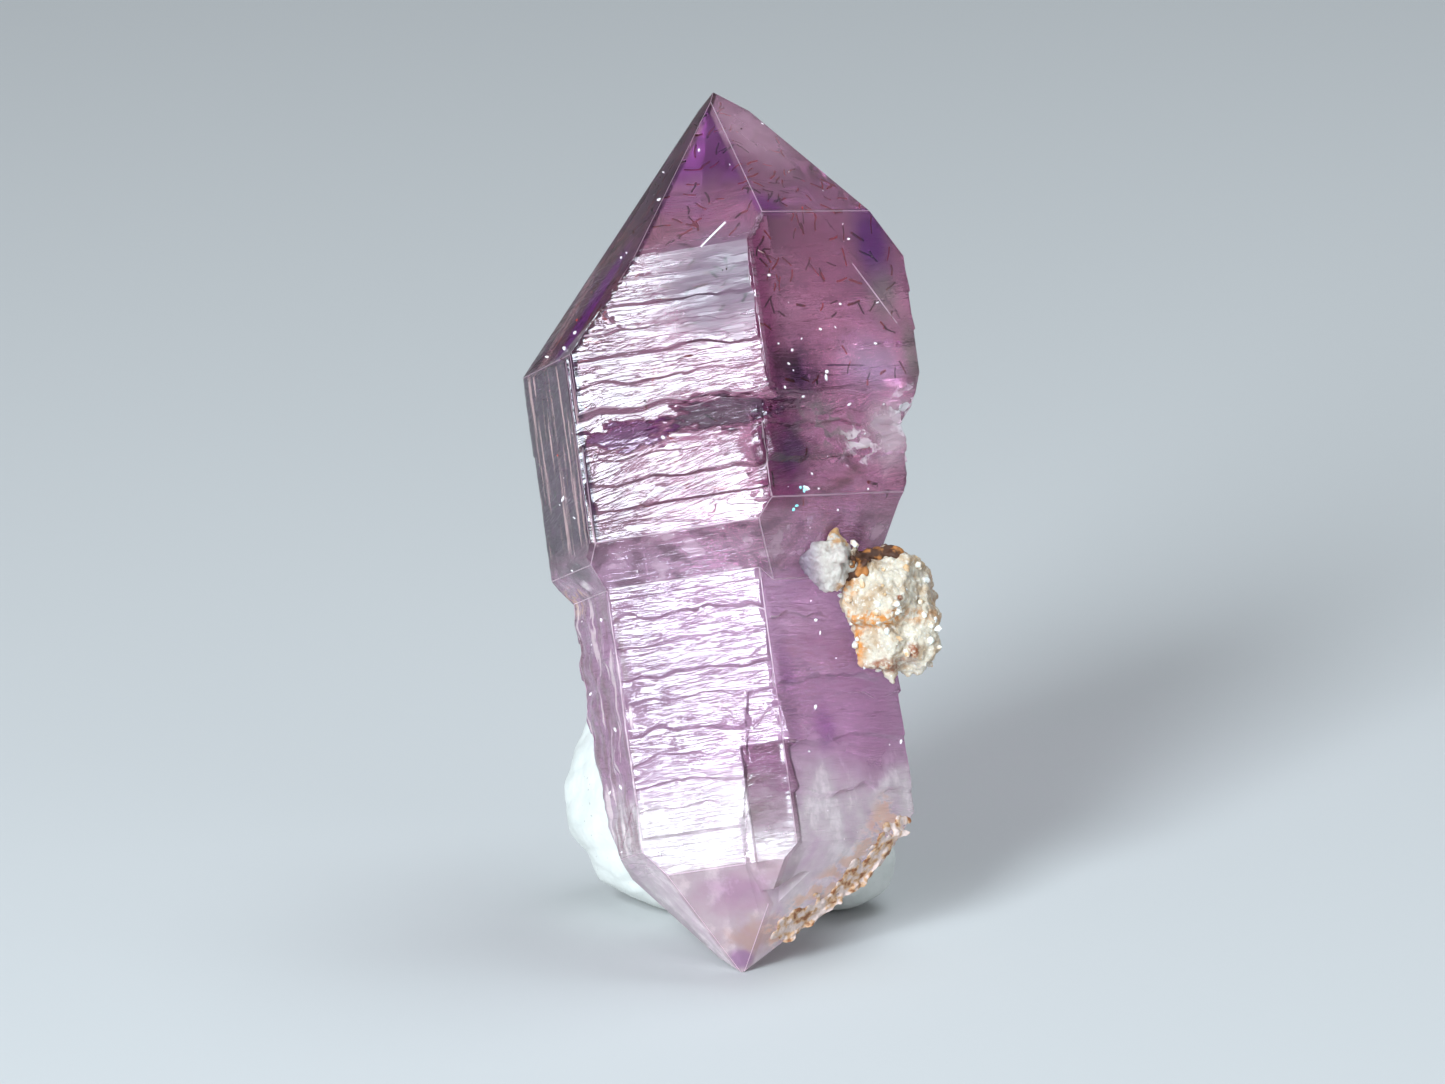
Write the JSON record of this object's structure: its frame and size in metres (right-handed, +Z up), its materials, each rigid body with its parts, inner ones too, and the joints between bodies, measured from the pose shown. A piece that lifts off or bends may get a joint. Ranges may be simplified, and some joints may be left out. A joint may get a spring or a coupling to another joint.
{
  "type": "amethyst scepter specimen",
  "caption": "Clear purple quartz scepter: a pointed head grown over a paler, doubly ended stem, with a cream mineral cluster on its side, leaning on a lump of white putty.",
  "frame": {"origin": "middle of the object's footprint, on the surface that the lower tip and the putty stand on", "axes": "+Z up; -Y is the front, where the stepped front faces look; +X is the side with the cream cluster"},
  "size_m": [0.018, 0.0188, 0.0356],
  "materials": {
    "amethyst": "clear purple quartz, glassy faces, paler towards the lower tip",
    "cluster": "sugary cream mineral grains with rusty stains",
    "putty": "matte white putty"
  },
  "bodies": {
    "root": {"amethyst_crystal": "amethyst", "matrix_cluster": "cluster", "putty_stand": "putty"}
  },
  "joints": []
}
